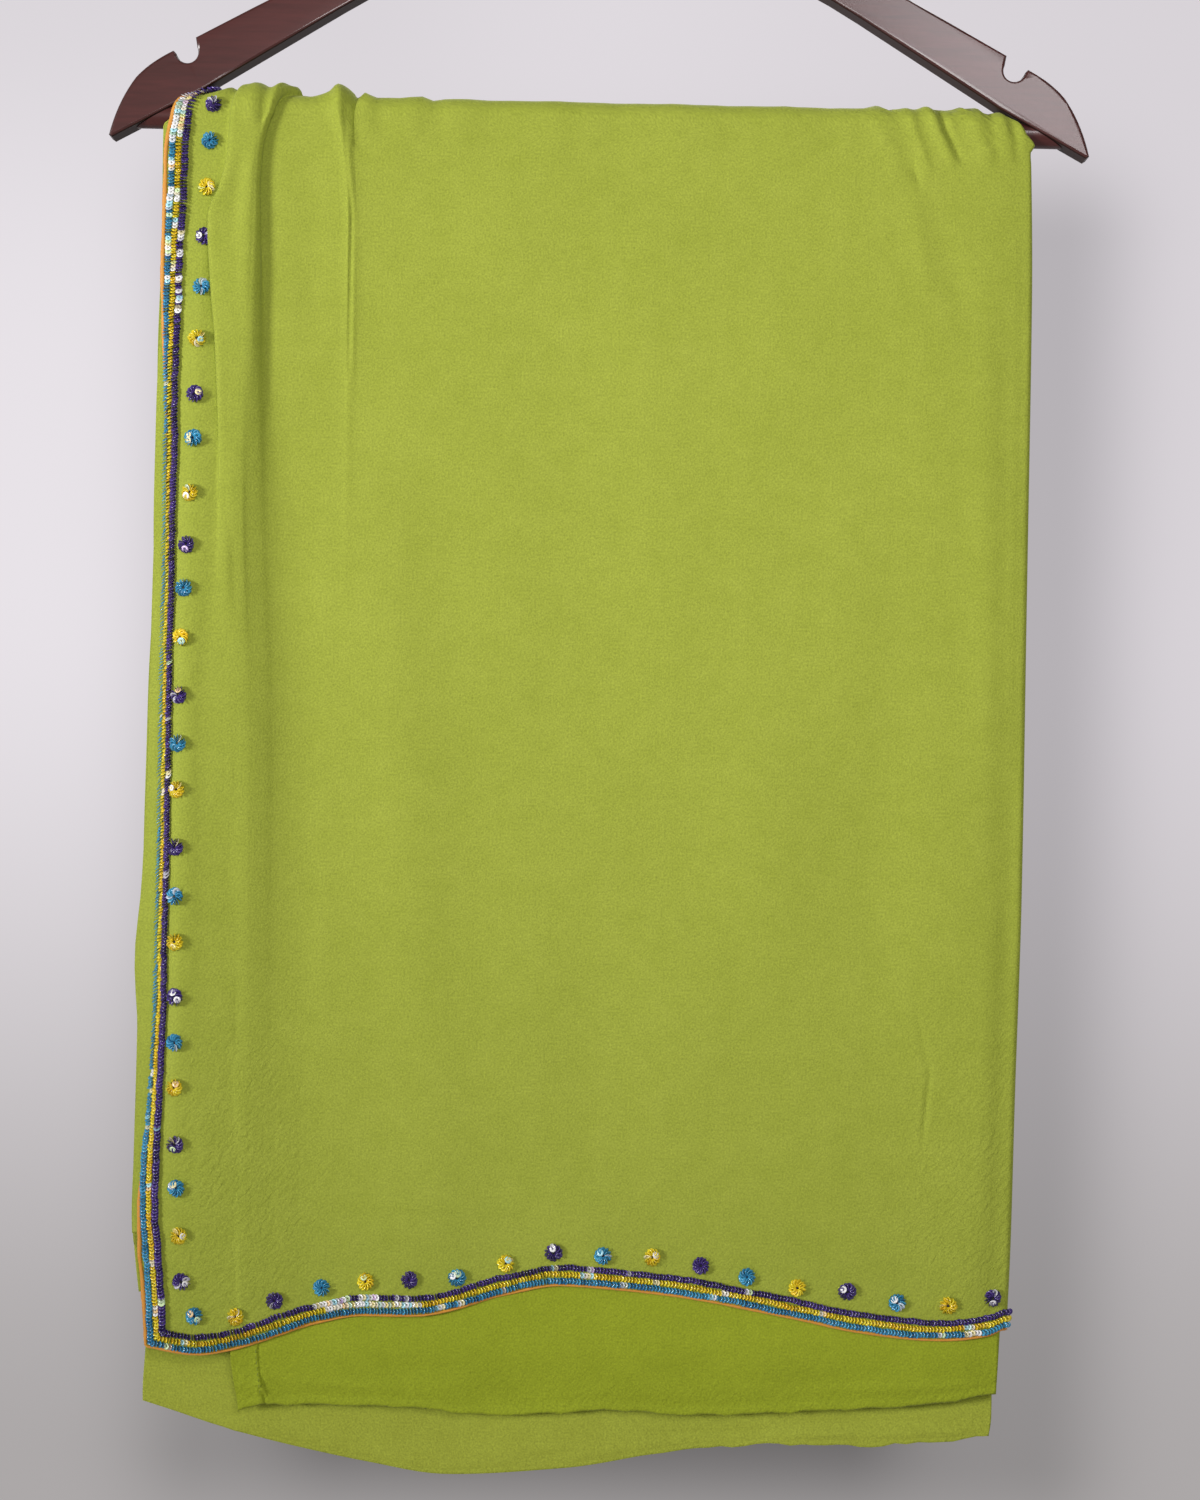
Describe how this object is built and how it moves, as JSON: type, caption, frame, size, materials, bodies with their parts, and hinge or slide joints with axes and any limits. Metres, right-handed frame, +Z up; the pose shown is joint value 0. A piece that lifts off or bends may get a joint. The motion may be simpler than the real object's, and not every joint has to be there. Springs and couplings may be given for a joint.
{
  "type": "saree on a hanger",
  "caption": "Green crepe saree folded lengthwise and hung over the bar of a notched wooden hanger, with a piped edge, sequin rows and small sequin rosettes.",
  "frame": {"origin": "inner top of the hook, the line on which a rail carries the hanger", "axes": "+Z up; the front of the saree faces -Y; +X to the right as seen from the front"},
  "size_m": [0.4464, 0.0422, 0.8086],
  "materials": {
    "cloth_outer": "crepe with a soft sheen",
    "cloth_inner": "crepe with a soft sheen",
    "cloth_low": "crepe with a soft sheen",
    "cloth_stack": "crepe with a soft sheen",
    "piping": "satin piping",
    "sequins_blue": "iridescent",
    "sequins_yellow": "iridescent",
    "sequins_purple": "iridescent",
    "board_wood": "dark brown gloss varnish",
    "bar_wood": "dark brown gloss varnish",
    "hook_steel": "polished"
  },
  "bodies": {
    "root": {"long_layer": "cloth_low", "folded_layers": "cloth_stack", "inner_end_panel": "cloth_inner", "outer_panel": "cloth_outer", "edge_piping": "piping", "sequin_row_blue": "sequins_blue", "sequin_row_yellow": "sequins_yellow", "sequin_row_purple": "sequins_purple", "hanger_board": "board_wood", "trouser_bar": "bar_wood", "wire_hook": "hook_steel"}
  },
  "joints": []
}
